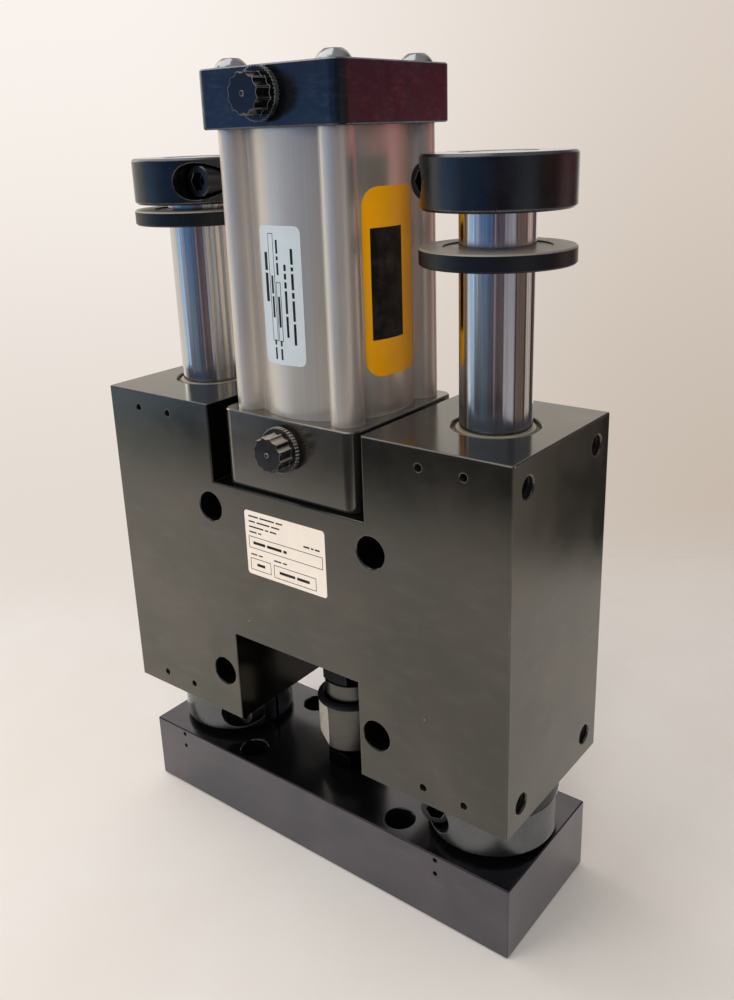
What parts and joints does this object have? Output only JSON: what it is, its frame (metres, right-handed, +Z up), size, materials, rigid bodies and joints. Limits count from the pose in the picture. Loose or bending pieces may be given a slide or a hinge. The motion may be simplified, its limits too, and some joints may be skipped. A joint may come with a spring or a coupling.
{
  "type": "slide table cylinder",
  "caption": "Air-driven slide: a black block housing with a square-ended cylinder runs on guide shafts that stand on a tool plate.",
  "frame": {"origin": "centre of the tool plate's underside", "axes": "+Z up along the stroke, +X along the tool plate's length to the right, front face towards -Y"},
  "size_m": [0.228, 0.0914, 0.3765],
  "materials": {
    "black_anodised": "satin black anodised",
    "hard_chrome": "ground and hard chromed",
    "black_oxide": "black oxide",
    "bright_steel": "bright machined",
    "clear_anodised": "clear anodised extrusion",
    "bumper_urethane": "moulded",
    "wiper_urethane": "moulded",
    "bearing_bronze": "turned",
    "plug_plastic": "moulded",
    "seal_rubber": "moulded",
    "piston_alloy": "turned"
  },
  "bodies": {
    "carriage": {"tool_plate": "black_anodised", "left_guide_shaft": "hard_chrome", "right_guide_shaft": "hard_chrome", "shaft_screws": "black_oxide", "left_lower_collar": "black_oxide", "right_lower_collar": "black_oxide", "left_upper_collar": "black_oxide", "right_upper_collar": "black_oxide", "collar_screws": "black_oxide", "left_lower_bumper": "bumper_urethane", "right_lower_bumper": "bumper_urethane", "piston_rod": "hard_chrome", "piston": "piston_alloy", "piston_seals": "seal_rubber", "piston_wear_band": "wiper_urethane", "piston_nut": "bright_steel", "rod_coupler": "bright_steel", "coupler_ring": "bright_steel", "coupler_stud": "bright_steel", "coupler_jam_nut": "black_oxide", "rod_jam_nut": "black_oxide"},
    "slide_body": {"housing": "black_anodised", "left_upper_bushing": "bearing_bronze", "left_lower_bushing": "bearing_bronze", "right_upper_bushing": "bearing_bronze", "right_lower_bushing": "bearing_bronze", "left_upper_wiper": "wiper_urethane", "left_lower_wiper": "wiper_urethane", "right_upper_wiper": "wiper_urethane", "right_lower_wiper": "wiper_urethane", "cylinder_head": "black_anodised", "cylinder_barrel": "clear_anodised", "cylinder_cap": "black_anodised", "barrel_o_rings": "seal_rubber", "tie_bolts": "bright_steel", "head_screws": "black_oxide", "rod_wiper": "wiper_urethane", "rod_bushing": "bearing_bronze", "rod_seal": "seal_rubber", "cap_port_plug": "plug_plastic", "head_port_plug": "plug_plastic"},
    "left_stop": {"left_upper_bumper": "bumper_urethane"},
    "right_stop": {"right_upper_bumper": "bumper_urethane"}
  },
  "joints": [
    {"name": "housing_slide", "type": "slide", "parent": "carriage", "child": "slide_body", "axis": [0, 0, 1], "range_m": [0, 0.0762]},
    {"name": "left_stop_slide", "type": "slide", "parent": "carriage", "child": "left_stop", "axis": [0, 0, 1], "range_m": [0, 0.0027]},
    {"name": "right_stop_slide", "type": "slide", "parent": "carriage", "child": "right_stop", "axis": [0, 0, 1], "range_m": [0, 0.011]}
  ],
  "couplings": [
    {"joint": "right_stop_slide", "follows": "housing_slide", "ratio": 0.1424}
  ]
}
